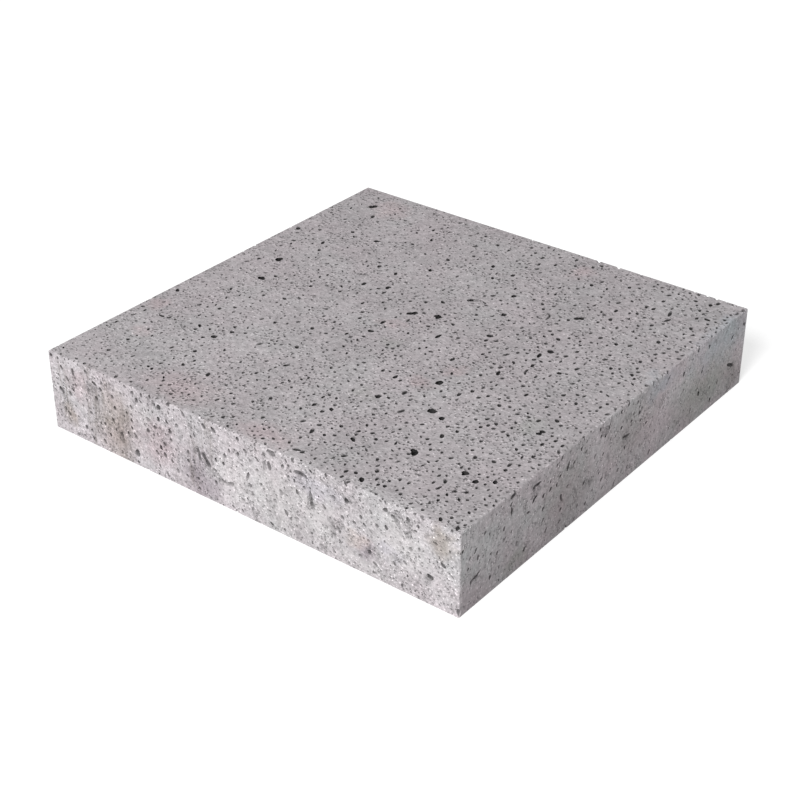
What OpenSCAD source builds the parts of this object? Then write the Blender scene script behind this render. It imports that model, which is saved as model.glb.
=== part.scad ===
// Concrete paving slab: one cast block, square in plan, that beds on its flat underside.
// The walking face has an eased arris all round, and trapped air has left blow holes in it.
// X runs along the length, Y along the width, and Z up from the middle of the bed face.

/* [Slab] */
// Length of the slab along X
slab_length = 400; // [200:5:900]
// Width of the slab along Y
slab_width = 400; // [200:5:900]
// Thickness from the bed face to the walking face
slab_thickness = 70; // [30:1:150]

/* [Edges] */
// Radius of the eased arris round the walking face
arris_radius = 1; // [0.5:0.5:10]
// Radius of the four upright corners
corner_radius = 1; // [0.5:0.5:20]

/* [Blow holes] */
// Depth of a large air bubble, as a multiple of the mouth that it opens to the face
bubble_depth = 0.86; // [0.6:0.02:0.95]
// Size of every blow hole, as a multiple of the size listed for it
mouth_scale = 1; // [0.5:0.1:1.5]
// Mouth of the middling blow holes that are spread evenly over a face, before each is varied
middling_mouth = 3.2; // [2:0.1:5]
// Number of middling blow holes in the walking face
walking_count = 150; // [0:10:300]
// Number of middling blow holes in each side
side_count = 28; // [0:2:60]
// Distance that they keep from the edges of a face
pit_margin = 6; // [4:1:20]

/* [Hidden] */
$fn = 64;

// How far a cutting prism runs past the faces that it trims
overrun = 5;

// The large blow holes of the walking face. Each has its place along X and Y as a share of the
// length and width from the middle, the width of its mouth, the distance between its two bubbles
// where two have run together (0 where there is one), and the turn of that pair.
BLOW_HOLES = [
    [-0.42,  0.42, 6.0, 3.0,  50], [-0.41,  0.08, 5.5, 2.5, 100], [-0.38, -0.01, 6.0, 1.0,   0],
    [-0.30,  0.28, 4.5, 0.0,   0], [-0.28, -0.26, 4.5, 1.0,   0], [-0.14,  0.12, 4.0, 2.0,  90],
    [-0.05, -0.05, 4.5, 1.0,  30], [-0.03,  0.06, 5.5, 4.0,  50], [ 0.02,  0.08, 6.0, 2.0, 150],
    [ 0.03,  0.18, 4.5, 2.0,  60], [ 0.09,  0.25, 4.5, 1.0,  90], [ 0.12,  0.17, 4.5, 1.0, 110],
    [ 0.12, -0.24, 5.0, 0.5,   0], [ 0.15,  0.08, 5.0, 0.0,   0], [ 0.18, -0.13, 5.5, 1.5,  90],
    [ 0.23, -0.22, 6.0, 1.5,   0], [ 0.25,  0.25, 5.0, 3.0,  50], [ 0.26, -0.23, 4.5, 1.0, 110],
    [ 0.28,  0.10, 5.0, 1.0, 160], [ 0.29, -0.35, 6.0, 3.0, 130], [ 0.34,  0.04, 4.5, 0.0,   0],
    [ 0.40, -0.35, 6.0, 0.0,   0], [ 0.43, -0.36, 5.0, 0.0,   0], [ 0.43, -0.16, 4.5, 4.0,  80]
];

// Runs of smaller bubbles, one list for each face that has them. Each run has the width of the mouths,
// their depth, and the places of the bubbles as shares of the face's length and height from its middle.
WALKING_RUNS = [
    [4.0, 2.0, [[-0.482, 0.228], [-0.478, 0.222]]], [3.5, 1.7, [[-0.467, 0.207]]],
    [3.6, 1.8, [[-0.315, 0.406]]], [3.6, 1.8, [[-0.389, 0.38], [-0.385, 0.373]]],
    [3.6, 1.8, [[-0.154, 0.105]]], [3.4, 1.7, [[-0.012, 0.077]]], [3.4, 1.7, [[0.067, 0.182]]],
    [3.2, 1.6, [[-0.067, -0.092]]], [3.6, 1.8, [[0.255, 0.122]]], [3.6, 1.8, [[0.332, 0.38]]],
    [3.2, 1.6, [[0.383, 0.388], [0.387, 0.374]]], [3.6, 1.8, [[0.492, 0.23]]],
    [3.6, 1.8, [[0.457, 0.232]]], [3.4, 1.7, [[0.475, 0.252]]], [3.4, 1.7, [[0.312, -0.042]]],
    [3.4, 1.7, [[0.37, -0.042]]], [3.6, 1.8, [[-0.27, -0.325]]], [3.4, 1.7, [[-0.297, -0.275]]],
    [3.2, 1.6, [[-0.43, -0.26], [-0.422, -0.261]]], [3.6, 1.8, [[-0.407, -0.425]]],
    [3.6, 1.8, [[-0.192, -0.47]]], [3.6, 1.8, [[0.117, -0.473], [0.124, -0.471]]],
    [2.8, 1.4, [[0.445, -0.276], [0.446, -0.284]]], [3.6, 1.8, [[0.232, 0.17]]],
    [3.2, 1.6, [[0.149, -0.193], [0.151, -0.203]]], [3.4, 1.7, [[0.355, -0.2]]],
    [2.4, 1.2, [[0.33, 0.026], [0.331, 0.018]]],
    [2.2, 1.1, [[0.284, 0.017], [0.285, 0.005], [0.29, -0.004]]], [3.4, 1.7, [[-0.242, -0.21]]],
    [2.8, 1.4, [[0.27, -0.392]]], [3.6, 1.8, [[-0.362, 0.016]]],
    [2.2, 1.1, [[0.187, 0.231], [0.193, 0.228], [0.197, 0.222], [0.199, 0.214], [0.199, 0.207]]],
    [2.4, 1.2, [[0.03, 0.178], [0.035, 0.186], [0.042, 0.191]]],
    [2.4, 1.2, [[0.055, 0.191], [0.063, 0.187]]],
    [2.4, 1.2, [[-0.404, 0.046], [-0.396, 0.05], [-0.39, 0.056]]],
    [1.6, 0.8, [[0.357, 0.11], [0.36, 0.095]]],
    [3.0, 1.2, [[-0.232, 0.13], [-0.222, 0.137], [-0.214, 0.143]]],
    [2.6, 1.3, [[-0.02, 0.035], [-0.018, 0.028]]]
];
FRONT_RUNS = [
    [3.2, 1.6, [[-0.433, 0.38], [-0.432, 0.31]]], [3.6, 1.8, [[-0.395, 0.43]]],
    [3.8, 1.8, [[-0.267, 0.43]]], [3.8, 1.8, [[-0.257, 0.36]]], [4.2, 2.0, [[-0.197, 0.4]]],
    [3.6, 1.6, [[-0.325, 0.257]]], [3.6, 1.6, [[-0.357, 0.286]]], [3.8, 1.8, [[-0.232, 0.03]]],
    [3.4, 1.6, [[-0.212, 0.114]]], [4.0, 1.8, [[-0.307, -0.186]]], [6.0, 2.2, [[-0.267, -0.343]]],
    [3.8, 1.8, [[-0.032, 0.157]]], [3.0, 1.5, [[-0.1, 0.1], [-0.098, 0.03], [-0.096, -0.03]]],
    [4.2, 2.1, [[-0.088, 0.06], [-0.081, 0.0], [-0.073, -0.06]]],
    [3.2, 1.6, [[-0.035, -0.19], [-0.026, -0.19], [-0.015, -0.15]]],
    [4.0, 1.8, [[0.077, 0.31], [0.079, 0.25]]],
    [3.6, 1.8, [[0.141, 0.355], [0.149, 0.37], [0.158, 0.365], [0.165, 0.35]]],
    [3.4, 1.7, [[0.174, 0.18], [0.176, 0.09], [0.179, 0.0]]], [4.6, 1.8, [[0.257, 0.285]]],
    [3.8, 1.4, [[0.227, 0.257]]], [3.2, 1.4, [[0.357, 0.36], [0.367, 0.31]]],
    [3.8, 1.6, [[0.391, 0.39]]], [3.4, 1.4, [[0.412, 0.36]]], [4.2, 1.8, [[0.307, -0.21]]],
    [3.6, 1.6, [[0.397, 0.057]]], [5.2, 1.8, [[0.08, 0.455], [0.088, 0.45]]],
    [2.8, 1.4, [[-0.453, 0.24], [-0.449, 0.2]]], [3.0, 1.5, [[0.235, -0.08], [0.24, -0.13]]],
    [2.6, 1.3, [[0.026, 0.07], [0.022, 0.0]]]
];
RIGHT_RUNS = [
    [4.4, 2.0, [[-0.35, 0.455], [-0.344, 0.46]]], [2.8, 1.4, [[-0.35, 0.32], [-0.349, 0.25]]],
    [3.2, 1.6, [[-0.286, 0.352], [-0.275, 0.364], [-0.263, 0.36]]],
    [3.2, 1.6, [[-0.174, 0.25], [-0.17, 0.32]]], [3.2, 1.6, [[-0.197, 0.24]]],
    [3.8, 1.9, [[-0.25, 0.16]]], [3.2, 1.6, [[-0.25, 0.0]]],
    [2.8, 1.4, [[-0.456, 0.14], [-0.453, 0.17]]],
    [3.0, 1.5, [[-0.462, -0.17], [-0.45, -0.16], [-0.441, -0.13]]],
    [3.4, 1.7, [[-0.193, -0.02], [-0.188, -0.08]]], [3.4, 1.7, [[-0.067, 0.43]]],
    [3.2, 1.6, [[-0.062, 0.33]]], [3.2, 1.6, [[-0.047, 0.29]]],
    [3.0, 1.5, [[-0.035, 0.34], [-0.032, 0.41]]], [3.4, 1.7, [[0.007, 0.443]]],
    [3.6, 1.8, [[0.032, 0.465]]], [3.2, 1.6, [[0.01, 0.23]]], [3.4, 1.6, [[0.047, 0.214]]],
    [3.8, 1.8, [[0.075, 0.243]]], [2.8, 1.4, [[0.02, 0.08], [0.032, 0.07], [0.042, 0.06]]],
    [2.8, 1.4, [[-0.062, -0.13]]], [2.8, 1.4, [[0.055, -0.186]]], [4.0, 1.8, [[0.297, 0.455]]],
    [3.0, 1.4, [[0.275, 0.386]]], [3.2, 1.6, [[0.32, 0.114]]],
    [3.4, 1.7, [[0.435, -0.09], [0.445, -0.12], [0.458, -0.16]]],
    [3.0, 1.5, [[0.487, 0.33], [0.492, 0.31]]], [2.6, 1.3, [[-0.3, 0.11], [-0.295, 0.1]]]
];

// Cross-section of the slab between two opposite sides, with its top corners eased.
module arris_profile(span) {
    shoulder = slab_thickness - arris_radius;
    translate([-span / 2, 0])
        square([span, shoulder]);
    translate([arris_radius - span / 2, 0])
        square([span - 2 * arris_radius, slab_thickness]);
    for (side = [-1, 1])
        translate([side * (span / 2 - arris_radius), shoulder])
            circle(arris_radius);
}

// Outline of the slab seen from above, with its corners eased.
module plan_outline() {
    square([slab_length, slab_width - 2 * corner_radius], center = true);
    square([slab_length - 2 * corner_radius, slab_width], center = true);
    for (x = [-1, 1], y = [-1, 1])
        translate([x * (slab_length / 2 - corner_radius), y * (slab_width / 2 - corner_radius)])
            circle(corner_radius);
}

// The block itself: the plan trimmed by its cross-sections both ways.
module cast_block() {
    intersection() {
        translate([0, 0, -overrun])
            linear_extrude(slab_thickness + 2 * overrun)
                plan_outline();
        rotate([90, 0, 0])
            linear_extrude(slab_width + 2 * overrun, center = true)
                arris_profile(slab_length);
        rotate([90, 0, 90])
            linear_extrude(slab_length + 2 * overrun, center = true)
                arris_profile(slab_width);
    }
}

// One air bubble that opens a round mouth on the XY plane, at its own origin.
module bubble(mouth, depth) {
    radius = (mouth * mouth / 4 + depth * depth) / (2 * depth);
    translate([0, 0, radius - depth])
        sphere(radius);
}

// A blow hole: one bubble, or two that have run together.
module blow_hole(mouth, spread, turn) {
    rotate(turn)
        for (end = spread > 0 ? [-1, 1] : [0])
            translate([end * spread / 2, 0, 0])
                bubble(mouth, mouth * bubble_depth);
}

// The smaller bubbles of one face, whose plane is XY and whose middle is the origin.
module bubble_runs(runs, length, height) {
    for (run = runs)
        for (place = run[2])
            translate([place[0] * length, place[1] * height, 0])
                bubble(run[0] * mouth_scale, run[1] * mouth_scale);
}

// What is left of a number after its whole part.
function fraction(number) = number - floor(number);

// Middling bubbles spread over one face, whose plane is XY and whose middle is the origin. Steps of
// two fixed shares of the face, each wrapped round at its edges, keep them about equally far apart.
module spread_bubbles(count, length, height) {
    if (count > 0)
        for (step = [1 : count]) {
            mouth = middling_mouth * mouth_scale * (0.8 + 0.4 * fraction(step * 0.618));
            translate([(fraction(step * 0.7549) - 0.5) * (length - 2 * pit_margin),
                       (fraction(step * 0.5698) - 0.5) * (height - 2 * pit_margin), 0])
                bubble(mouth, mouth * 0.42);
        }
}

module slab() {
    color("darkgray")
    difference() {
        cast_block();
        translate([0, 0, slab_thickness]) {
            for (hole = BLOW_HOLES)
                translate([hole[0] * slab_length, hole[1] * slab_width, 0])
                    blow_hole(hole[2] * mouth_scale, hole[3] * mouth_scale, hole[4]);
            bubble_runs(WALKING_RUNS, slab_length, slab_width);
            spread_bubbles(walking_count, slab_length, slab_width);
        }
        translate([0, -slab_width / 2, slab_thickness / 2])
            rotate([90, 0, 0])
                bubble_runs(FRONT_RUNS, slab_length, slab_thickness);
        translate([slab_length / 2, 0, slab_thickness / 2])
            rotate([90, 0, 90])
                bubble_runs(RIGHT_RUNS, slab_width, slab_thickness);
        for (side = [0 : 3]) {
            along = side % 2 == 0 ? slab_length : slab_width;
            out = side % 2 == 0 ? slab_width : slab_length;
            rotate(side * 90)
                translate([0, -out / 2, slab_thickness / 2])
                    rotate([90, 0, 0])
                        spread_bubbles(side_count, along, slab_thickness);
        }
    }
}

slab();
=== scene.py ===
"""Concrete paving slab: the cast block with its blow holes, its concrete skin, and a plain studio."""
import math
import random

import bmesh
import bpy
from mathutils import Matrix, Vector, noise


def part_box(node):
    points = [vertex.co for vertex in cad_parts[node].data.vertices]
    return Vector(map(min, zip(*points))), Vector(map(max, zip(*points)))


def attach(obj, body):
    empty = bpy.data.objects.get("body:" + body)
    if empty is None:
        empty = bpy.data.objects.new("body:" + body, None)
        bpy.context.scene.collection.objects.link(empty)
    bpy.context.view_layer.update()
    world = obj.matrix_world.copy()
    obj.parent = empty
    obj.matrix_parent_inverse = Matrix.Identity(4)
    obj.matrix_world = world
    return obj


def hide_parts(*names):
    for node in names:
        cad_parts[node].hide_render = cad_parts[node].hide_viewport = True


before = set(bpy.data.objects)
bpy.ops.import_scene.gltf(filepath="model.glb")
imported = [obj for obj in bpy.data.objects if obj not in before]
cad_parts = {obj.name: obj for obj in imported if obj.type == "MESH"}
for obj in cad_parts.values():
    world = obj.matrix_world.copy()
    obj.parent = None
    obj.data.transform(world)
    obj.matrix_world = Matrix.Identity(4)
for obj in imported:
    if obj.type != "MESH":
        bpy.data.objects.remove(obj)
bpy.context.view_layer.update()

MM = 0.001

# Sizes that come from the frame
LOW, HIGH = (Vector(corner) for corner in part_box("slab"))
LENGTH, WIDTH, THICKNESS = HIGH - LOW
MIDDLE = (LOW + HIGH) / 2

# The block: its eased edges, and the grid that its faces are divided into
ARRIS_RADIUS = 1 * MM
ARRIS_SEGMENTS = 3
GRID_CELL = 25 * MM
FLAT_ALIGNMENT = 0.9999
CREASE_ANGLE = math.radians(60)

# Air bubbles that the casting left open
BUBBLE_DEPTH = 0.86
BUBBLE_LUMPS = 0.35
BUBBLE_LUMP_SIZE = 0.8
TINY_BUBBLE = 1.7 * MM
FINE_BUBBLE = 3.0 * MM
LARGE_BUBBLE = 4.6 * MM

# Large blow holes of the walking face: X and Y as shares, mouth in mm, gap of a pair in mm, turn in degrees
LARGE_BLOW_HOLES = [
    (-0.42, 0.42, 6.0, 3.0, 50), (-0.41, 0.08, 5.5, 2.5, 100), (-0.38, -0.01, 6.0, 1.0, 0),
    (-0.30, 0.28, 4.5, 0.0, 0), (-0.28, -0.26, 4.5, 1.0, 0), (-0.14, 0.12, 4.0, 2.0, 90),
    (-0.05, -0.05, 4.5, 1.0, 30), (-0.03, 0.06, 5.5, 4.0, 50), (0.02, 0.08, 6.0, 2.0, 150),
    (0.03, 0.18, 4.5, 2.0, 60), (0.09, 0.25, 4.5, 1.0, 90), (0.12, 0.17, 4.5, 1.0, 110),
    (0.12, -0.24, 5.0, 0.5, 0), (0.15, 0.08, 5.0, 0.0, 0), (0.18, -0.13, 5.5, 1.5, 90),
    (0.23, -0.22, 6.0, 1.5, 0), (0.25, 0.25, 5.0, 3.0, 50), (0.26, -0.23, 4.5, 1.0, 110),
    (0.28, 0.10, 5.0, 1.0, 160), (0.29, -0.35, 6.0, 3.0, 130), (0.34, 0.04, 4.5, 0.0, 0),
    (0.40, -0.35, 6.0, 0.0, 0), (0.43, -0.36, 5.0, 0.0, 0), (0.43, -0.16, 4.5, 4.0, 80),
]

# Runs of smaller bubbles: mouth and depth in mm, then places as shares of the face's length and height
BUBBLE_RUNS = {
    "walking": [
        (4.0, 2.0, (-0.482, 0.228), (-0.478, 0.222)), (3.5, 1.7, (-0.467, 0.207)),
        (3.6, 1.8, (-0.315, 0.406)), (3.6, 1.8, (-0.389, 0.38), (-0.385, 0.373)),
        (3.6, 1.8, (-0.154, 0.105)), (3.4, 1.7, (-0.012, 0.077)), (3.4, 1.7, (0.067, 0.182)),
        (3.2, 1.6, (-0.067, -0.092)), (3.6, 1.8, (0.255, 0.122)), (3.6, 1.8, (0.332, 0.38)),
        (3.2, 1.6, (0.383, 0.388), (0.387, 0.374)), (3.6, 1.8, (0.492, 0.23)),
        (3.6, 1.8, (0.457, 0.232)), (3.4, 1.7, (0.475, 0.252)), (3.4, 1.7, (0.312, -0.042)),
        (3.4, 1.7, (0.37, -0.042)), (3.6, 1.8, (-0.27, -0.325)), (3.4, 1.7, (-0.297, -0.275)),
        (3.2, 1.6, (-0.43, -0.26), (-0.422, -0.261)), (3.6, 1.8, (-0.407, -0.425)),
        (3.6, 1.8, (-0.192, -0.47)), (3.6, 1.8, (0.117, -0.473), (0.124, -0.471)),
        (2.8, 1.4, (0.445, -0.276), (0.446, -0.284)), (3.6, 1.8, (0.232, 0.17)),
        (3.2, 1.6, (0.149, -0.193), (0.151, -0.203)), (3.4, 1.7, (0.355, -0.2)),
        (2.4, 1.2, (0.33, 0.026), (0.331, 0.018)),
        (2.2, 1.1, (0.284, 0.017), (0.285, 0.005), (0.29, -0.004)), (3.4, 1.7, (-0.242, -0.21)),
        (2.8, 1.4, (0.27, -0.392)), (3.6, 1.8, (-0.362, 0.016)),
        (2.2, 1.1, (0.187, 0.231), (0.193, 0.228), (0.197, 0.222), (0.199, 0.214), (0.199, 0.207)),
        (2.4, 1.2, (0.03, 0.178), (0.035, 0.186), (0.042, 0.191)),
        (2.4, 1.2, (0.055, 0.191), (0.063, 0.187)),
        (2.4, 1.2, (-0.404, 0.046), (-0.396, 0.05), (-0.39, 0.056)),
        (1.6, 0.8, (0.357, 0.11), (0.36, 0.095)),
        (3.0, 1.2, (-0.232, 0.13), (-0.222, 0.137), (-0.214, 0.143)),
        (2.6, 1.3, (-0.02, 0.035), (-0.018, 0.028)),
    ],
    "front": [
        (3.2, 1.6, (-0.433, 0.38), (-0.432, 0.31)), (3.6, 1.8, (-0.395, 0.43)),
        (3.8, 1.8, (-0.267, 0.43)), (3.8, 1.8, (-0.257, 0.36)), (4.2, 2.0, (-0.197, 0.4)),
        (3.6, 1.6, (-0.325, 0.257)), (3.6, 1.6, (-0.357, 0.286)), (3.8, 1.8, (-0.232, 0.03)),
        (3.4, 1.6, (-0.212, 0.114)), (4.0, 1.8, (-0.307, -0.186)), (6.0, 2.2, (-0.267, -0.343)),
        (3.8, 1.8, (-0.032, 0.157)), (3.0, 1.5, (-0.1, 0.1), (-0.098, 0.03), (-0.096, -0.03)),
        (4.2, 2.1, (-0.088, 0.06), (-0.081, 0.0), (-0.073, -0.06)),
        (3.2, 1.6, (-0.035, -0.19), (-0.026, -0.19), (-0.015, -0.15)),
        (4.0, 1.8, (0.077, 0.31), (0.079, 0.25)),
        (3.6, 1.8, (0.141, 0.355), (0.149, 0.37), (0.158, 0.365), (0.165, 0.35)),
        (3.4, 1.7, (0.174, 0.18), (0.176, 0.09), (0.179, 0.0)), (4.6, 1.8, (0.257, 0.285)),
        (3.8, 1.4, (0.227, 0.257)), (3.2, 1.4, (0.357, 0.36), (0.367, 0.31)), (3.8, 1.6, (0.391, 0.39)),
        (3.4, 1.4, (0.412, 0.36)), (4.2, 1.8, (0.307, -0.21)), (3.6, 1.6, (0.397, 0.057)),
        (5.2, 1.8, (0.08, 0.455), (0.088, 0.45)), (2.8, 1.4, (-0.453, 0.24), (-0.449, 0.2)),
        (3.0, 1.5, (0.235, -0.08), (0.24, -0.13)), (2.6, 1.3, (0.026, 0.07), (0.022, 0.0)),
    ],
    "right": [
        (4.4, 2.0, (-0.35, 0.455), (-0.344, 0.46)), (2.8, 1.4, (-0.35, 0.32), (-0.349, 0.25)),
        (3.2, 1.6, (-0.286, 0.352), (-0.275, 0.364), (-0.263, 0.36)),
        (3.2, 1.6, (-0.174, 0.25), (-0.17, 0.32)), (3.2, 1.6, (-0.197, 0.24)),
        (3.8, 1.9, (-0.25, 0.16)), (3.2, 1.6, (-0.25, 0.0)), (2.8, 1.4, (-0.456, 0.14), (-0.453, 0.17)),
        (3.0, 1.5, (-0.462, -0.17), (-0.45, -0.16), (-0.441, -0.13)),
        (3.4, 1.7, (-0.193, -0.02), (-0.188, -0.08)), (3.4, 1.7, (-0.067, 0.43)),
        (3.2, 1.6, (-0.062, 0.33)), (3.2, 1.6, (-0.047, 0.29)),
        (3.0, 1.5, (-0.035, 0.34), (-0.032, 0.41)), (3.4, 1.7, (0.007, 0.443)),
        (3.6, 1.8, (0.032, 0.465)), (3.2, 1.6, (0.01, 0.23)), (3.4, 1.6, (0.047, 0.214)),
        (3.8, 1.8, (0.075, 0.243)), (2.8, 1.4, (0.02, 0.08), (0.032, 0.07), (0.042, 0.06)),
        (2.8, 1.4, (-0.062, -0.13)), (2.8, 1.4, (0.055, -0.186)), (4.0, 1.8, (0.297, 0.455)),
        (3.0, 1.4, (0.275, 0.386)), (3.2, 1.6, (0.32, 0.114)),
        (3.4, 1.7, (0.435, -0.09), (0.445, -0.12), (0.458, -0.16)),
        (3.0, 1.5, (0.487, 0.33), (0.492, 0.31)), (2.6, 1.3, (-0.3, 0.11), (-0.295, 0.1)),
    ],
}
RUN_STRETCH = 1.1

# Middling blow holes, spread evenly over each face as in the solid
SPREAD = {"walking": 150, "front": 28, "right": 28, "back": 28, "left": 28}
MIDDLING_MOUTH = 3.2 * MM
MIDDLING_DEPTH = 0.42
LEAST_MOUTH = 0.8
MOUTH_RANGE = 0.4
STEP_ALONG, STEP_UP, STEP_MOUTH = 0.7549, 0.5698, 0.618
PIT_MARGIN = 6 * MM
SPREAD_STRETCH = (1.0, 1.7, 1.2)
SPREAD_TURN = 0.5

# Small blow holes scattered on a face: how many, middle width, spread of the widths, lean in radians
SCATTER = {
    "walking": (4260, 1.64 * MM, 0.34, 0.3),
    "front": (455, 1.6 * MM, 0.42, 0.5),
    "right": (145, 1.6 * MM, 0.38, -0.6),
    "back": (100, 1.6 * MM, 0.38, 0.5),
    "left": (140, 1.6 * MM, 0.38, -0.6),
    "bed": (70, 1.8 * MM, 0.40, 0.0),
}
SCATTER_DEPTH = (0.35, 1.0, 0.6)
SCATTER_STRETCH = (1.0, 2.4, 1.5)
SCATTER_TURN = 0.4

# How much more the scattered ones crowd along a face, where they are wider too, and up it
CROWDING = {"walking": (0.45, -0.25), "front": (-0.35, 0.3)}
EVEN_CROWDING = 0.6
PIT_REACH = 0.62
FACE_PAIRS = [("walking", "bed"), ("front", "back"), ("right", "left")]
WIDEST_SCATTERED = 3.4 * MM
WALL_BETWEEN_PITS = 0.3 * MM
CLUSTERING = 1.1
CLUSTER_SIZE = 22 * MM
HASH_CELL = 8 * MM

# Stains in the concrete: the colour, how strong it is, and the middle and reach in mm of each patch
STAINS = [
    ("#BFA4A6", 0.26, [
        ((-75, -178, 70), (46, 26, 12)), ((17, -186, 70), (34, 16, 12)), ((-150, 172, 70), (22, 24, 12)),
        ((57, 172, 70), (12, 18, 12)), ((70, -30, 70), (12, 12, 12)), ((60, -60, 70), (16, 10, 12)),
        ((-185, -90, 70), (14, 14, 12)), ((-165, -130, 70), (14, 12, 12)), ((-15, 0, 70), (14, 12, 12)),
    ]),
    ("#9FA39C", 0.3, [
        ((35, -100, 70), (14, 14, 12)), ((5, -25, 70), (14, 14, 12)), ((160, -60, 70), (16, 16, 12)),
    ]),
    ("#C2BFC0", 0.8, [((55, -200, 35), (80, 12, 70)), ((140, -200, 35), (90, 12, 60))]),
    ("#978A7E", 0.55, [
        ((-128, -200, 26), (28, 12, 44)), ((185, -200, 55), (16, 12, 16)), ((-180, -200, 20), (12, 12, 16)),
    ]),
    ("#8A7F88", 0.5, [((-38, -200, 14), (24, 12, 36)), ((120, -200, 20), (14, 12, 16))]),
    ("#B4B0BE", 0.4, [((75, -200, 53), (28, 12, 12)), ((140, -200, 30), (14, 12, 10))]),
    ("#C4AFA2", 0.28, [((112, -200, 27), (14, 12, 9))]),
    ("#A39EA0", 0.3, [((25, -200, 33), (36, 12, 40))]),
    ("#B8A2A6", 0.45, [((-85, -200, 30), (30, 12, 28)), ((-165, -200, 50), (20, 12, 16))]),
    ("#959C92", 0.5, [((200, 135, 26), (12, 66, 30)), ((200, -130, 10), (12, 20, 10))]),
    ("#A3A9B0", 0.55, [((200, 60, 62), (12, 36, 12)), ((200, 160, 58), (12, 70, 24))]),
    ("#958D8C", 0.5, [
        ((200, -70, 36), (12, 46, 40)), ((200, 20, 44), (12, 50, 34)), ((200, 185, 14), (12, 20, 14)),
    ]),
]

# Smooth whitish patches of the front: the middle and reach in mm of each
SMOOTH = [
    ((-5, -200, 26), (28, 12, 26)), ((40, -200, 26), (40, 12, 34)), ((75, -200, 32), (26, 12, 36)),
    ((150, -200, 40), (26, 12, 22)), ((-95, -200, 48), (14, 12, 16)), ((110, -200, 8), (30, 12, 12)),
]

# Places where dirt has run down the front: the middle and reach in mm of each
STREAKED = [
    ((-154, -200, 36), (11, 12, 54)), ((-136, -200, 40), (7, 12, 40)), ((-119, -200, 24), (10, 12, 46)),
    ((-45, -200, 26), (8, 12, 36)), ((-186, -200, 40), (9, 12, 40)), ((-30, -200, 50), (8, 12, 30)),
]

# Crumbled patches of the sides in view: the middle and reach in mm of each
CRUMBLED = [
    ((94, -200, 30), (9, 10, 9)), ((147, -200, 60), (14, 10, 8)), ((156, -200, 54), (8, 10, 8)),
    ((-9, -200, 23), (8, 10, 5)), ((61, -200, 60), (6, 10, 8)), ((72, -200, 40), (6, 10, 12)),
    ((30, -200, 54), (6, 10, 9)), ((122, -200, 22), (9, 10, 7)), ((-105, -200, 60), (7, 10, 8)),
    ((-40, -200, 38), (8, 10, 10)), ((-78, -200, 62), (8, 10, 6)), ((-152, -200, 54), (9, 10, 12)),
    ((103, -200, 55), (8, 10, 6)), ((-122, -200, 22), (8, 10, 9)), ((175, -200, 20), (8, 10, 7)),
    ((200, -140, 54), (10, 6, 9)), ((200, -121, 52), (10, 6, 8)), ((200, -110, 56), (10, 6, 9)),
    ((200, -100, 41), (10, 6, 12)), ((200, -69, 55), (10, 6, 8)), ((200, -79, 31), (10, 8, 8)),
    ((200, -182, 24), (10, 9, 6)), ((200, -22, 60), (10, 14, 8)), ((200, 12, 40), (10, 10, 6)),
    ((200, 30, 52), (10, 8, 7)), ((200, 180, 25), (10, 9, 7)), ((200, -40, 30), (10, 10, 8)),
]

# Colours of the concrete, and the painted shade of its blow holes
# The walking face goes from the far to the near tone: a painted light falloff, paler towards the front
FAR_SHADED_TONE, NEAR_LIT_TONE = "#A8A3A5", "#B2ADAF"
FRONT_TONE = "#C6C0C3"
PLAIN_TONE = "#BFBABC"
LIME_TONE = "#CFCDCC"
DIRT_TONE = "#6E665F"
PINK_HUE, GREEN_HUE = "#FEF7FA", "#F6FBFA"
# Painted shade inside the blow holes
HOLLOW_SHADE_TONE = "#0F0E0E"

# Sizes of the concrete's patterns
CLOUD_SIZE = 60 * MM
HUE_SIZE = 45 * MM
WORN_SIZE = 18 * MM
RAGGED_SIZE = 14 * MM
MOTTLE_SIZE = 12 * MM
WRAP_SIZE = 9 * MM
WRAP_REACH = 6 * MM
LIME_FULL, LIME_END = 2.5 * MM, 6.5 * MM
CRUMBLE_SIZE = 8 * MM
GRAIN_SIZE = 4 * MM
STREAK_SIZE = 4 * MM
GRIT_SIZE = 2 * MM
FLECK_SPACING = 4.2 * MM
SPECK_SPACING = 3.2 * MM
DIMPLE_SPACING = Vector((2.6, 3.4, 2.6)) * MM
# How far towards the key light the painted highlight beside each dimple is shifted
HIGHLIGHT_SHIFT = 1.3 * MM
GRAIN_HEIGHT = 1.2 * MM
DIMPLE_HEIGHT = 0.8 * MM
# How far up the plain sides the darkening towards the bed reaches
DARKENING_HEIGHT = 50 * MM
# Within this distance in from a side, the painted shade of the blow holes is weaker
SIDE_SHADE_REACH = 6 * MM
# Painted shade in the blow holes starts at the first depth and is full at the second
SHADE_FROM, SHADE_BY = 0.13 * MM, 0.97 * MM

# Camera, as the photograph was taken
CAMERA_AIM = Vector((28.4, -44.3, 35.0)) * MM
CAMERA_AZIMUTH = 37.897
CAMERA_ELEVATION = 31.059
CAMERA_DISTANCE = 1289.7 * MM
CAMERA_LENS = 73.94
CAMERA_SENSOR = 36.0

# Studio
FLOOR_SIZE = 12.0
FLOOR_TONE = "#C8C8C8"
FLOOR_GLOW = 0.54
SKY_STRENGTH = 0.5
KEY_DIRECTION = Vector((0.1, -0.78, 0.6))
KEY_STRENGTH = 0.82 * math.pi
KEY_ANGLE = math.radians(20)

dice = random.Random(7)


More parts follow.
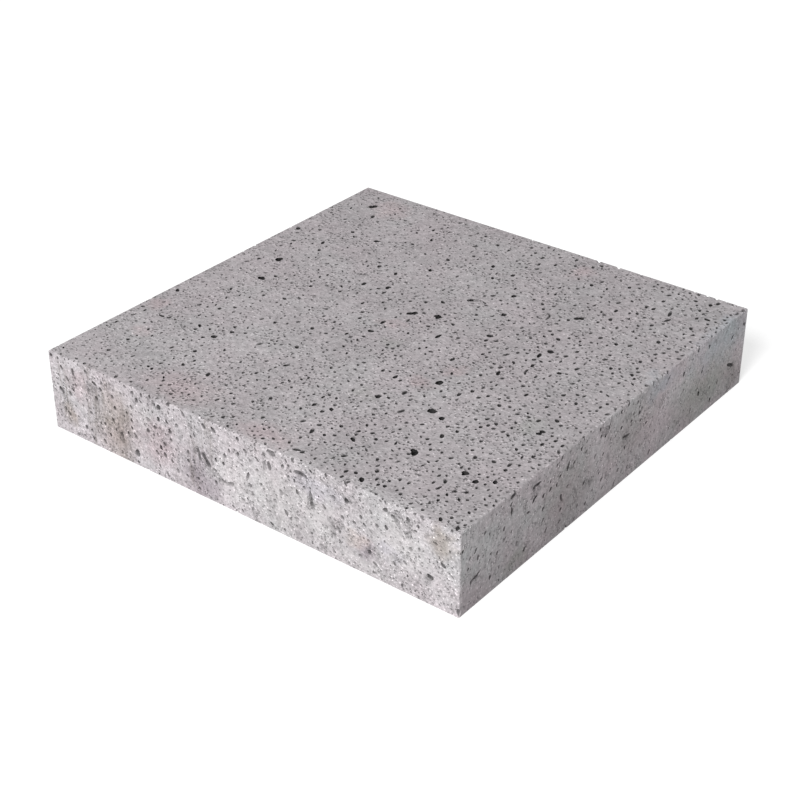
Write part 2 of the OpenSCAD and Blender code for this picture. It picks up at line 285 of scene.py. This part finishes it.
def face_place(name):
    """Matrix from a face's own along, up and out axes, at its middle, to the slab."""
    if name == "walking":
        return Matrix.Translation((MIDDLE.x, MIDDLE.y, HIGH.z))
    if name == "bed":
        return Matrix.Translation((MIDDLE.x, MIDDLE.y, LOW.z)) @ Matrix.Rotation(math.pi, 4, "X")
    quarter_turns = ("front", "right", "back", "left").index(name)
    reach = WIDTH / 2 if name in ("front", "back") else LENGTH / 2
    return (Matrix.Translation(MIDDLE) @ Matrix.Rotation(quarter_turns * math.pi / 2, 4, "Z")
            @ Matrix.Translation((0, -reach, 0)) @ Matrix.Rotation(math.pi / 2, 4, "X"))


def seat_on(name, spot, turn):
    """Matrix of a spot on a face, with its along and up axes turned."""
    return face_place(name) @ Matrix.Translation((spot.x, spot.y, 0)) @ Matrix.Rotation(turn, 4, "Z")


def face_size(name):
    """Length and height of a face along its own axes."""
    if name in ("walking", "bed"):
        return LENGTH, WIDTH
    return (LENGTH if name in ("front", "back") else WIDTH), THICKNESS


def cast_block():
    """The block with its walking arris and upright corners eased and its bed edges sharp."""
    block = bmesh.new()
    bmesh.ops.create_cube(block, size=1.0)
    bmesh.ops.scale(block, vec=HIGH - LOW, verts=block.verts)
    bmesh.ops.translate(block, vec=MIDDLE, verts=block.verts)
    eased = [edge for edge in block.edges if any(vert.co.z > MIDDLE.z for vert in edge.verts)]
    bmesh.ops.bevel(block, geom=eased, offset=ARRIS_RADIUS, segments=ARRIS_SEGMENTS, profile=0.5,
                    affect="EDGES", material=-1)
    for axis in range(3):
        normal = Vector.Fill(3, 0.0)
        normal[axis] = 1.0
        cells = round((HIGH[axis] - LOW[axis]) / GRID_CELL)
        for step in range(1, cells):
            point = Vector(MIDDLE)
            point[axis] = LOW[axis] + step * (HIGH[axis] - LOW[axis]) / cells
            whole = block.verts[:] + block.edges[:] + block.faces[:]
            bmesh.ops.bisect_plane(block, geom=whole, plane_co=point, plane_no=normal)
    return block


def unit_bubbles():
    """Corners and faces of a ball, from coarse to fine, each with the volume that a radius of 1 gives."""
    shapes = []
    for subdivisions in (0, 1, 2, 3):
        ball = bmesh.new()
        if subdivisions:
            bmesh.ops.create_icosphere(ball, subdivisions=subdivisions, radius=1.0)
        else:
            bmesh.ops.create_uvsphere(ball, u_segments=6, v_segments=2, radius=1.0)
        swell = (4 / 3 * math.pi / ball.calc_volume()) ** (1 / 3)
        corners = [vert.co * swell for vert in ball.verts]
        faces = [[vert.index for vert in face.verts] for face in ball.faces]
        ball.free()
        shapes.append((corners, faces))
    return shapes


UNIT_BUBBLES = unit_bubbles()


class Bubbles:
    """Many lumpy air bubbles, gathered as one list of corners and faces."""

    def __init__(self):
        self.corners = []
        self.faces = []

    def add(self, place, mouth, depth, stretch=1.0):
        """Add a bubble that opens at the place's origin on its XY plane, stretched along its Y axis."""
        radius = (mouth ** 2 / 4 + depth ** 2) / (2 * depth)
        fineness = sum(mouth >= limit for limit in (TINY_BUBBLE, FINE_BUBBLE, LARGE_BUBBLE))
        corners, faces = UNIT_BUBBLES[fineness]
        tumble = Matrix.Rotation(dice.uniform(0, math.tau), 4, "X")
        tumble = tumble @ Matrix.Rotation(dice.uniform(0, math.tau), 4, "Z")
        lump_seed = Vector((dice.uniform(0, 99), dice.uniform(0, 99), dice.uniform(0, 99)))
        size = Matrix.Diagonal((radius, radius * stretch, radius, 1))
        seat = place @ Matrix.Translation((0, 0, radius - depth)) @ size @ tumble
        first = len(self.corners)
        for corner in corners:
            lump = noise.noise(corner / BUBBLE_LUMP_SIZE + lump_seed)
            self.corners.append(seat @ (corner * (1 + BUBBLE_LUMPS * lump)))
        self.faces += [[first + number for number in face] for face in faces]

    def piece(self):
        """The bubbles as one object."""
        mesh = bpy.data.meshes.new("bubbles")
        mesh.from_pydata(self.corners, [], self.faces)
        return add_object("bubbles", mesh)


def add_object(name, data):
    """Put a mesh, lamp or camera in the scene as an object of that name."""
    piece = bpy.data.objects.new(name, data)
    bpy.context.scene.collection.objects.link(piece)
    return piece


def cut_away(piece, bubbles):
    """Cut bubbles out of a piece."""
    tool = bubbles.piece()
    cut = piece.modifiers.new("blow holes", "BOOLEAN")
    cut.operation = "DIFFERENCE"
    cut.solver = "MANIFOLD"
    cut.object = tool
    whole = piece.evaluated_get(bpy.context.evaluated_depsgraph_get())
    piece.data = bpy.data.meshes.new_from_object(whole)
    piece.modifiers.clear()
    bpy.data.objects.remove(tool)


class Room:
    """The places on one face that are taken, so that scattered bubbles stay clear of each other."""

    def __init__(self):
        self.cells = {}

    def near(self, spot):
        """Every taken spot in the cells around this one."""
        column, row = math.floor(spot.x / HASH_CELL), math.floor(spot.y / HASH_CELL)
        for across in (-1, 0, 1):
            for along in (-1, 0, 1):
                yield from self.cells.get((column + across, row + along), ())

    def free(self, spot, reach):
        """Whether a bubble of that reach fits here."""
        return all((spot - other).length > reach + taken for other, taken in self.near(spot))

    def take(self, spot, reach):
        """Note a bubble of that reach."""
        cell = (math.floor(spot.x / HASH_CELL), math.floor(spot.y / HASH_CELL))
        self.cells.setdefault(cell, []).append((spot, reach))


def open_large_holes(batches, room):
    """Open the large blow holes of the walking face, each one bubble or two that have run together."""
    for along, up, mouth, gap, turn in LARGE_BLOW_HOLES:
        spot = Vector((along * LENGTH, up * WIDTH))
        seat = seat_on("walking", spot, math.radians(turn))
        ends = (-1, 1) if gap else (0,)
        for end, batch in zip(ends, batches):
            slide = Matrix.Translation((end * gap * MM / 2, 0, 0))
            batch.add(seat @ slide, mouth * MM, mouth * MM * BUBBLE_DEPTH)
        room.take(spot, (mouth * (1 + BUBBLE_LUMPS) + gap) * MM / 2)


def open_runs(batches, room, name):
    """Open a face's runs of smaller bubbles, each bubble stretched from one place to the next."""
    length, height = face_size(name)
    for mouth, depth, *places in BUBBLE_RUNS[name]:
        spots = [Vector((along * length, up * height)) for along, up in places]
        for step, (start, end) in enumerate(zip(spots, spots[1:] or spots)):
            middle = (start + end) / 2
            gap = end - start
            seat = seat_on(name, middle, math.atan2(-gap.x, gap.y))
            batches[step % 2].add(seat, mouth * MM, depth * MM, RUN_STRETCH + gap.length / (mouth * MM))
            room.take(middle, (mouth * (1 + BUBBLE_LUMPS) * MM + gap.length) / 2)


def spread_evenly(bubbles, room, name):
    """Spread middling bubbles evenly over a face, as in the solid."""
    length, height = face_size(name)
    for step in range(1, SPREAD[name] + 1):
        mouth = MIDDLING_MOUTH * (LEAST_MOUTH + MOUTH_RANGE * (step * STEP_MOUTH % 1))
        along, up = step * STEP_ALONG % 1 - 0.5, step * STEP_UP % 1 - 0.5
        spot = Vector((along * (length - 2 * PIT_MARGIN), up * (height - 2 * PIT_MARGIN)))
        stretch = dice.triangular(*SPREAD_STRETCH)
        bubbles.add(seat_on(name, spot, dice.gauss(0, SPREAD_TURN)), mouth, mouth * MIDDLING_DEPTH, stretch)
        room.take(spot, mouth * stretch * PIT_REACH + WALL_BETWEEN_PITS / 2)


def scatter(bubbles, room, name):
    """Scatter small bubbles over a face, clear of the ones that are there already."""
    count, middle_width, spread, lean = SCATTER[name]
    slope_along, slope_up = CROWDING.get(name, (0.0, 0.0))
    length, height = face_size(name)
    made = 0
    while made < count:
        along = dice.uniform(-0.5, 0.5)
        up = dice.uniform(-0.5, 0.5)
        spot = Vector((along * length, up * height))
        crowding = EVEN_CROWDING + slope_along * along + slope_up * up
        crowding *= 1 + CLUSTERING * noise.noise((face_place(name) @ spot.to_3d()) / CLUSTER_SIZE)
        if dice.random() > crowding:
            continue
        swell = (1 + slope_along * along) * math.exp(spread * dice.gauss(0, 1))
        mouth = min(middle_width * swell, WIDEST_SCATTERED)
        depth = mouth * dice.triangular(*SCATTER_DEPTH)
        stretch = dice.triangular(*SCATTER_STRETCH)
        turn = dice.gauss(lean, SCATTER_TURN)
        reach = mouth * stretch * PIT_REACH + WALL_BETWEEN_PITS / 2
        if room.free(spot, reach):
            room.take(spot, reach)
            bubbles.add(seat_on(name, spot, turn), mouth, depth, stretch)
            made += 1


def make_slab():
    """The slab as one piece, with every blow hole cut out of the block."""
    rooms = {name: Room() for name in SCATTER}
    batches = {}
    for pair in FACE_PAIRS:
        batches.update(dict.fromkeys(pair, (Bubbles(), Bubbles(), Bubbles())))
    open_large_holes(batches["walking"], rooms["walking"])
    for name in BUBBLE_RUNS:
        open_runs(batches[name], rooms[name], name)
    for name in SPREAD:
        spread_evenly(batches[name][2], rooms[name], name)
    for name, room in rooms.items():
        scatter(batches[name][0], room, name)
    mesh = bpy.data.meshes.new("paving_slab")
    block = cast_block()
    block.to_mesh(mesh)
    block.free()
    slab = add_object("paving_slab", mesh)
    for face, opposite in FACE_PAIRS:
        for batch in batches[face]:
            cut_away(slab, batch)
    slab.data.materials.clear()
    slab.data.materials.append(concrete())
    return slab


def crease(slab):
    """Shade smoothly, with a crease wherever a flat face ends."""
    slab.data.shade_smooth()
    shape = bmesh.new()
    shape.from_mesh(slab.data)
    for edge in shape.edges:
        flat = {max(abs(part) for part in face.normal) > FLAT_ALIGNMENT for face in edge.link_faces}
        edge.smooth = len(flat) == 1 and edge.calc_face_angle(0) < CREASE_ANGLE
    shape.to_mesh(slab.data)
    shape.free()


def colour(hex_code):
    """Linear colour, with alpha, from an sRGB hex code."""
    channels = [int(hex_code[k:k + 2], 16) / 255 for k in (1, 3, 5)]
    linear = [c / 12.92 if c <= 0.04045 else ((c + 0.055) / 1.055) ** 2.4 for c in channels]
    return (*linear, 1.0)


def add_node(tree, kind, inputs, **settings):
    """Add a shader node, set its properties, and set or link its inputs by name or number."""
    made = tree.nodes.new("ShaderNode" + kind)
    for name, value in settings.items():
        setattr(made, name, value)
    for key, value in inputs.items():
        if isinstance(value, bpy.types.NodeSocket):
            tree.links.new(value, made.inputs[key])
        else:
            made.inputs[key].default_value = value
    return made


def new_material(name):
    """An empty material of that name, and its node tree."""
    material = bpy.data.materials.new(name)
    material.use_nodes = True
    material.node_tree.nodes.clear()
    return material, material.node_tree


def patches(tree, place, spots):
    """Soft patches as a factor: 1 at the middle of each, 0 outside its reach."""
    factor = 0.0
    for middle, reach in spots:
        inside = add_node(tree, "Mapping", {"Vector": place, "Location": Vector(middle) * MM,
                                            "Scale": Vector(reach) * MM}, vector_type="TEXTURE").outputs[0]
        inside = add_node(tree, "TexGradient", {"Vector": inside}, gradient_type="SPHERICAL").outputs["Fac"]
        factor = add_node(tree, "Math", {0: inside, 1: factor}, operation="MAXIMUM").outputs[0]
    return factor


def block_depths(tree, place):
    """How far a point lies in from the nearest side, and how deep under the nearest face."""
    off = add_node(tree, "VectorMath", {0: place, 1: MIDDLE}, operation="SUBTRACT").outputs[0]
    off = add_node(tree, "VectorMath", {0: off}, operation="ABSOLUTE").outputs[0]
    deep = add_node(tree, "VectorMath", {0: (HIGH - LOW) / 2, 1: off}, operation="SUBTRACT").outputs[0]
    deep = add_node(tree, "SeparateXYZ", {"Vector": deep}).outputs
    inset = add_node(tree, "Math", {0: deep["X"], 1: deep["Y"]}, operation="MINIMUM").outputs[0]
    depth = add_node(tree, "Math", {0: inset, 1: deep["Z"]}, operation="MINIMUM").outputs[0]
    return inset, depth


def side_skins(tree, place, axes, inset):
    """Factors for the limy front, which wraps a little way over the arris, the plain sides, and both."""
    wobble = add_node(tree, "TexNoise", {"Vector": place, "Scale": 1 / WRAP_SIZE, "Detail": 3.0}).outputs[0]
    wrap = add_node(tree, "Math", {0: wobble, 1: WRAP_REACH, 2: axes["Y"]}, operation="MULTIPLY_ADD")
    front = add_node(tree, "MapRange", {0: wrap.outputs[0], 1: LOW.y + LIME_END,
                                        2: LOW.y + LIME_FULL}).outputs[0]
    sides = add_node(tree, "MapRange", {0: inset, 1: ARRIS_RADIUS, 2: 0.0}).outputs[0]
    sides = add_node(tree, "Math", {0: front, 1: sides}, operation="MAXIMUM").outputs[0]
    plain = add_node(tree, "Math", {0: sides, 1: front}, operation="SUBTRACT").outputs[0]
    return front, plain, sides


def ragged_place(tree, place):
    """The place, shifted to and fro so that patches get ragged edges."""
    shift = add_node(tree, "TexNoise", {"Vector": place, "Scale": 1 / RAGGED_SIZE, "Detail": 4.0})
    ragged = add_node(tree, "VectorMath", {0: shift.outputs["Color"], 1: (2 * RAGGED_SIZE,) * 3, 2: place},
                      operation="MULTIPLY_ADD").outputs[0]
    return add_node(tree, "VectorMath", {0: ragged, 1: (RAGGED_SIZE,) * 3}, operation="SUBTRACT").outputs[0]


def skin_tone(tree, axes, front, plain):
    """The tone of each face before its stains: the walking face is painted paler towards the front, a painted
    light falloff.
    """
    # Painted light falloff across the walking face
    near = add_node(tree, "MapRange", {0: axes["Y"], 1: HIGH.y, 2: LOW.y}).outputs[0]
    tone = add_node(tree, "Mix", {0: near, 6: colour(FAR_SHADED_TONE), 7: colour(NEAR_LIT_TONE)},
                    data_type="RGBA").outputs[2]
    tone = add_node(tree, "Mix", {0: front, 6: tone, 7: colour(FRONT_TONE)}, data_type="RGBA").outputs[2]
    return add_node(tree, "Mix", {0: plain, 6: tone, 7: colour(PLAIN_TONE)}, data_type="RGBA").outputs[2]


def stained(tree, tone, place, ragged, smooth):
    """The tone with its stains, the smooth whitish lime of the front, and dirt that has run down."""
    for stain, strength, spots in STAINS:
        factor = patches(tree, ragged, spots)
        factor = add_node(tree, "MapRange", {0: factor, 1: 0.0, 2: 0.7, 4: strength}).outputs[0]
        tone = add_node(tree, "Mix", {0: factor, 6: tone, 7: colour(stain)}, data_type="RGBA").outputs[2]
    lime = add_node(tree, "Math", {0: smooth, 1: 0.36}, operation="MULTIPLY").outputs[0]
    tone = add_node(tree, "Mix", {0: lime, 6: tone, 7: colour(LIME_TONE)}, data_type="RGBA").outputs[2]
    drawn_down = add_node(tree, "Mapping", {"Vector": place, "Scale": (1, 1, 0.14)}).outputs[0]
    streak = add_node(tree, "TexNoise", {"Vector": drawn_down, "Scale": 1 / STREAK_SIZE, "Detail": 4.0,
                                         "Roughness": 0.65}).outputs[0]
    streak = add_node(tree, "MapRange", {0: streak, 1: 0.42, 2: 0.62}).outputs[0]
    dirt = add_node(tree, "MapRange", {0: patches(tree, place, STREAKED), 2: 0.45, 4: 0.5}).outputs[0]
    streak = add_node(tree, "Math", {0: streak, 1: dirt}, operation="MULTIPLY").outputs[0]
    return add_node(tree, "Mix", {0: streak, 6: tone, 7: colour(DIRT_TONE)}, data_type="RGBA").outputs[2]


def drifting_hue(tree, tone, place, plain):
    """The tone drifting between pinkish and greenish, mostly on the plain sides."""
    drift = add_node(tree, "TexNoise", {"Vector": place, "Scale": 1 / HUE_SIZE, "Detail": 7.0,
                                        "Roughness": 0.62}).outputs[0]
    drift = add_node(tree, "MapRange", {0: drift, 1: 0.35, 2: 0.65}).outputs[0]
    hue = add_node(tree, "Mix", {0: drift, 6: colour(PINK_HUE), 7: colour(GREEN_HUE)},
                   data_type="RGBA").outputs[2]
    strength = add_node(tree, "MapRange", {0: plain, 3: 0.45, 4: 1.0}).outputs[0]
    return add_node(tree, "Mix", {0: strength, 6: tone, 7: hue}, data_type="RGBA",
                    blend_type="MULTIPLY").outputs[2]


def clouds_and_sand(tree, place, front, smooth, grain, grit):
    """Factors for broad clouds, mottling, sand and grit, with less grit where the front is smooth."""
    cloud = add_node(tree, "TexNoise", {"Vector": place, "Scale": 1 / CLOUD_SIZE, "Detail": 2.0}).outputs[0]
    cloud = add_node(tree, "MapRange", {0: cloud, 1: 0.3, 2: 0.7, 3: 0.93, 4: 1.07}).outputs[0]
    mottle = add_node(tree, "TexNoise", {"Vector": place, "Scale": 1 / MOTTLE_SIZE, "Detail": 4.0,
                                         "Roughness": 0.6}).outputs[0]
    mottle = add_node(tree, "Math", {0: mottle, 1: 0.5}, operation="SUBTRACT").outputs[0]
    mottle_swing = add_node(tree, "MapRange", {0: front, 3: 0.25, 4: 0.48}).outputs[0]
    mottle = add_node(tree, "Math", {0: mottle, 1: mottle_swing, 2: 1.0}, operation="MULTIPLY_ADD").outputs[0]
    sand = add_node(tree, "MapRange", {0: grain, 1: 0.25, 2: 0.75, 3: 0.78, 4: 1.22}).outputs[0]
    grit_swing = add_node(tree, "MapRange", {0: front, 3: 0.3, 4: 0.8}).outputs[0]
    calm = add_node(tree, "MapRange", {0: smooth, 3: 1.0, 4: 0.45}).outputs[0]
    grit_swing = add_node(tree, "Math", {0: grit_swing, 1: calm}, operation="MULTIPLY").outputs[0]
    gritty = add_node(tree, "Math", {0: grit, 1: 0.5}, operation="SUBTRACT").outputs[0]
    gritty = add_node(tree, "Math", {0: gritty, 1: grit_swing, 2: 1.0}, operation="MULTIPLY_ADD").outputs[0]
    return [cloud, mottle, sand, gritty]


def flecks_and_specks(tree, place, plain, sides):
    """Factors for bright flecks everywhere, pale grains made bright enough to stand in partly as painted
    highlights, and dark grains of sand on the sides.
    """
    fleck = add_node(tree, "TexVoronoi", {"Vector": place, "Scale": 1 / FLECK_SPACING}).outputs["Distance"]
    # Bright flecks: pale grains, partly a painted highlight
    grain_and_highlight_gain = add_node(tree, "MapRange", {0: plain, 3: 1.5, 4: 1.45}).outputs[0]
    fleck = add_node(tree, "MapRange", {0: fleck, 1: 0.12, 2: 0.2, 3: grain_and_highlight_gain, 4: 1.0}).outputs[0]
    cells = add_node(tree, "TexVoronoi", {"Vector": place, "Scale": 1 / SPECK_SPACING}).outputs
    chosen = add_node(tree, "SeparateColor", {"Color": cells["Color"]}).outputs["Red"]
    chosen = add_node(tree, "MapRange", {0: chosen, 1: 0.5, 2: 0.55}).outputs[0]
    speck = add_node(tree, "MapRange", {0: cells["Distance"], 1: 0.14, 2: 0.27, 3: 0.68, 4: 0.0}).outputs[0]
    speck = add_node(tree, "Math", {0: speck, 1: chosen}, operation="MULTIPLY").outputs[0]
    speck = add_node(tree, "Math", {0: speck, 1: sides}, operation="MULTIPLY").outputs[0]
    speck = add_node(tree, "Math", {0: 1.0, 1: speck}, operation="SUBTRACT").outputs[0]
    return [fleck, speck]


def dimples(tree, place, sides):
    """Fine dimples: their height, how far they are unworn, and factors for their painted shade and for a
    painted highlight beside each, shifted towards the key light.
    """
    scale = Vector([1 / spacing for spacing in DIMPLE_SPACING])
    dimple = add_node(tree, "Mapping", {"Vector": place, "Scale": scale}).outputs[0]
    dimple = add_node(tree, "TexVoronoi", {"Vector": dimple, "Scale": 1.0}).outputs["Distance"]
    dimple = add_node(tree, "MapRange", {0: dimple, 1: 0.2, 2: 0.36, 3: 0.0, 4: 1.0}).outputs[0]
    # A painted highlight beside each dimple, shifted towards the key light
    highlight_spot = add_node(tree, "Mapping", {"Vector": place, "Location": (0, HIGHLIGHT_SHIFT / DIMPLE_SPACING.y, 0),
                                     "Scale": scale}).outputs[0]
    highlight_spot = add_node(tree, "TexVoronoi", {"Vector": highlight_spot, "Scale": 1.0}).outputs["Distance"]
    unworn = add_node(tree, "TexNoise", {"Vector": place, "Scale": 1 / WORN_SIZE, "Detail": 3.0}).outputs[0]
    unworn = add_node(tree, "MapRange", {0: unworn, 1: 0.42, 2: 0.56, 3: 0.15, 4: 1.0}).outputs[0]
    # Painted shade in the dimples, weaker on the sides and where worn
    painted_dimple_shade = add_node(tree, "MapRange", {0: sides, 3: 0.56, 4: 0.86}).outputs[0]
    painted_dimple_shade = add_node(tree, "MapRange", {0: unworn, 3: 1.0, 4: painted_dimple_shade}).outputs[0]
    painted_dimple_shade = add_node(tree, "MapRange", {0: dimple, 3: painted_dimple_shade, 4: 1.0}).outputs[0]
    highlight_gain = add_node(tree, "MapRange", {0: unworn, 3: 1.0, 4: 1.85}).outputs[0]
    painted_lip_highlight = add_node(tree, "MapRange", {0: highlight_spot, 1: 0.12, 2: 0.26, 3: highlight_gain, 4: 1.0}).outputs[0]
    return dimple, unworn, [painted_dimple_shade, painted_lip_highlight]


def crumbling(tree, ragged, sides, grit):
    """Factor for the crumbled patches of the sides."""
    crumble = add_node(tree, "Mapping", {"Vector": ragged, "Scale": (1, 1, 0.45)}).outputs[0]
    crumble = add_node(tree, "TexNoise", {"Vector": crumble, "Scale": 1 / CRUMBLE_SIZE, "Detail": 5.0,
                                          "Roughness": 0.68}).outputs[0]
    crumble = add_node(tree, "MapRange", {0: crumble, 1: 0.55, 2: 0.68, 3: 0.0, 4: 0.4}).outputs[0]
    crumble = add_node(tree, "Math", {0: crumble, 1: sides}, operation="MULTIPLY").outputs[0]
    broken = add_node(tree, "MapRange", {0: patches(tree, ragged, CRUMBLED), 1: 0.0, 2: 0.5}).outputs[0]
    broken = add_node(tree, "Math", {0: broken, 1: grit}, operation="MULTIPLY").outputs[0]
    broken = add_node(tree, "MapRange", {0: broken, 1: 0.43, 2: 0.52, 4: 0.5}).outputs[0]
    crumble = add_node(tree, "Math", {0: crumble, 1: broken}, operation="MAXIMUM").outputs[0]
    return add_node(tree, "Math", {0: 1.0, 1: crumble}, operation="SUBTRACT").outputs[0]


def darker_towards_bed(tree, axes, plain):
    """Factor for the plain sides, darker towards the bed."""
    darkening = add_node(tree, "MapRange", {0: axes["Z"], 1: LOW.z, 2: LOW.z + DARKENING_HEIGHT, 3: 0.27, 4: 0.0})
    darkening = add_node(tree, "Math", {0: darkening.outputs[0], 1: plain}, operation="MULTIPLY").outputs[0]
    return add_node(tree, "Math", {0: 1.0, 1: darkening}, operation="SUBTRACT").outputs[0]


def shade_hollows(tree, tone, inset, depth, smooth):
    """The tone with painted shade in the blow holes, deepening with depth, weaker near the sides and where
    lime has run into them.
    """
    pit_shade = add_node(tree, "MapRange", {0: depth, 1: SHADE_FROM, 2: SHADE_BY}).outputs[0]
    in_sides = add_node(tree, "MapRange", {0: inset, 1: 0.0, 2: SIDE_SHADE_REACH, 3: 0.6, 4: 0.95}).outputs[0]
    in_lime = add_node(tree, "MapRange", {0: smooth, 3: 1.0, 4: 0.7}).outputs[0]
    for share in (in_sides, in_lime):
        pit_shade = add_node(tree, "Math", {0: pit_shade, 1: share}, operation="MULTIPLY").outputs[0]
    return add_node(tree, "Mix", {0: pit_shade, 6: tone, 7: colour(HOLLOW_SHADE_TONE)}, data_type="RGBA").outputs[2]


def concrete():
    """Cast concrete: matt grey cement paste, sandy to the eye, stained, with painted shade in its blow holes
    and dimples and painted highlights beside the dimples.
    """
    material, tree = new_material("cast_concrete")
    place = add_node(tree, "TexCoord", {}).outputs["Object"]
    axes = add_node(tree, "SeparateXYZ", {"Vector": place}).outputs
    inset, depth = block_depths(tree, place)
    front, plain, sides = side_skins(tree, place, axes, inset)
    ragged = ragged_place(tree, place)
    smooth = add_node(tree, "MapRange", {0: patches(tree, ragged, SMOOTH), 2: 0.6}).outputs[0]
    grain = add_node(tree, "TexNoise", {"Vector": place, "Scale": 1 / GRAIN_SIZE, "Detail": 2.5,
                                        "Roughness": 0.6}).outputs[0]
    grit = add_node(tree, "TexNoise", {"Vector": place, "Scale": 1 / GRIT_SIZE, "Detail": 2.0,
                                       "Roughness": 0.6}).outputs[0]
    dimple, unworn, dimple_shade_and_highlight = dimples(tree, place, sides)

    tone = skin_tone(tree, axes, front, plain)
    tone = stained(tree, tone, place, ragged, smooth)
    tone = drifting_hue(tree, tone, place, plain)
    factors = clouds_and_sand(tree, place, front, smooth, grain, grit)
    factors += flecks_and_specks(tree, place, plain, sides)
    # Painted shade in the dimples and painted highlights beside them
    factors += dimple_shade_and_highlight
    factors += [crumbling(tree, ragged, sides, grit), darker_towards_bed(tree, axes, plain)]
    for factor in factors:
        tone = add_node(tree, "Mix", {0: 1.0, 6: tone, 7: factor}, data_type="RGBA",
                        blend_type="MULTIPLY").outputs[2]
    # Painted shade in the blow holes, deepening with depth under the nearest face
    tone = shade_hollows(tree, tone, inset, depth, smooth)

    relief = add_node(tree, "Bump", {"Height": grain, "Distance": GRAIN_HEIGHT, "Strength": 1.0}).outputs[0]
    relief = add_node(tree, "Bump", {"Height": dimple, "Distance": DIMPLE_HEIGHT, "Strength": unworn,
                                     "Normal": relief}).outputs[0]
    shader = add_node(tree, "BsdfPrincipled", {"Base Color": tone, "Roughness": 0.9, "IOR": 1.5,
                                               "Normal": relief})
    add_node(tree, "OutputMaterial", {"Surface": shader.outputs[0]})
    return material


def studio_floor():
    """A plain white floor that takes the slab's shadow."""
    material, tree = new_material("studio_floor")
    rays = add_node(tree, "LightPath", {}).outputs
    seen = add_node(tree, "Math", {0: rays["Is Camera Ray"], 1: rays["Is Glossy Ray"]}, operation="MAXIMUM")
    seen = add_node(tree, "Math", {0: seen.outputs[0], 1: rays["Is Transmission Ray"]}, operation="MAXIMUM")
    lit = add_node(tree, "BsdfDiffuse", {"Color": colour(FLOOR_TONE)})
    glow = add_node(tree, "Emission", {"Color": (1, 1, 1, 1), "Strength": FLOOR_GLOW})
    both = add_node(tree, "AddShader", {0: lit.outputs[0], 1: glow.outputs[0]})
    mixed = add_node(tree, "MixShader", {0: seen.outputs[0], 1: lit.outputs[0], 2: both.outputs[0]})
    add_node(tree, "OutputMaterial", {"Surface": mixed.outputs[0]})
    shape = bmesh.new()
    bmesh.ops.create_grid(shape, x_segments=1, y_segments=1, size=FLOOR_SIZE / 2)
    bmesh.ops.translate(shape, vec=(0, 0, LOW.z), verts=shape.verts)
    mesh = bpy.data.meshes.new("floor")
    shape.to_mesh(mesh)
    shape.free()
    mesh.materials.append(material)
    add_object("floor", mesh)


def studio_light():
    """A white sky all round and one soft key light."""
    world = bpy.data.worlds.new("studio_sky")
    bpy.context.scene.world = world
    world.use_nodes = True
    tree = world.node_tree
    tree.nodes.clear()
    rays = add_node(tree, "LightPath", {}).outputs
    level = add_node(tree, "MapRange", {0: rays["Is Camera Ray"], 3: SKY_STRENGTH, 4: 1.0})
    sky = add_node(tree, "Background", {"Color": (1, 1, 1, 1), "Strength": level.outputs[0]})
    add_node(tree, "OutputWorld", {"Surface": sky.outputs[0]})
    lamp = bpy.data.lights.new("key", "SUN")
    lamp.energy = KEY_STRENGTH
    lamp.angle = KEY_ANGLE
    key = add_object("key", lamp)
    key.rotation_euler = KEY_DIRECTION.to_track_quat("Z", "Y").to_euler()


def photo_camera():
    """The camera at the photograph's place."""
    lens = bpy.data.cameras.new("camera")
    lens.lens = CAMERA_LENS
    lens.sensor_width = CAMERA_SENSOR
    camera = add_object("camera", lens)
    azimuth, elevation = math.radians(CAMERA_AZIMUTH), math.radians(CAMERA_ELEVATION)
    back = Vector((math.sin(azimuth) * math.cos(elevation), -math.cos(azimuth) * math.cos(elevation),
                   math.sin(elevation)))
    camera.location = CAMERA_AIM + back * CAMERA_DISTANCE
    camera.rotation_euler = back.to_track_quat("Z", "Y").to_euler()
    bpy.context.scene.camera = camera


slab = make_slab()
crease(slab)
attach(slab, "root")
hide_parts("slab")
studio_floor()
studio_light()
photo_camera()
bpy.context.scene.view_settings.view_transform = "Standard"

slab.data.calc_loop_triangles()
print("slab", len(slab.data.loop_triangles), "triangles")
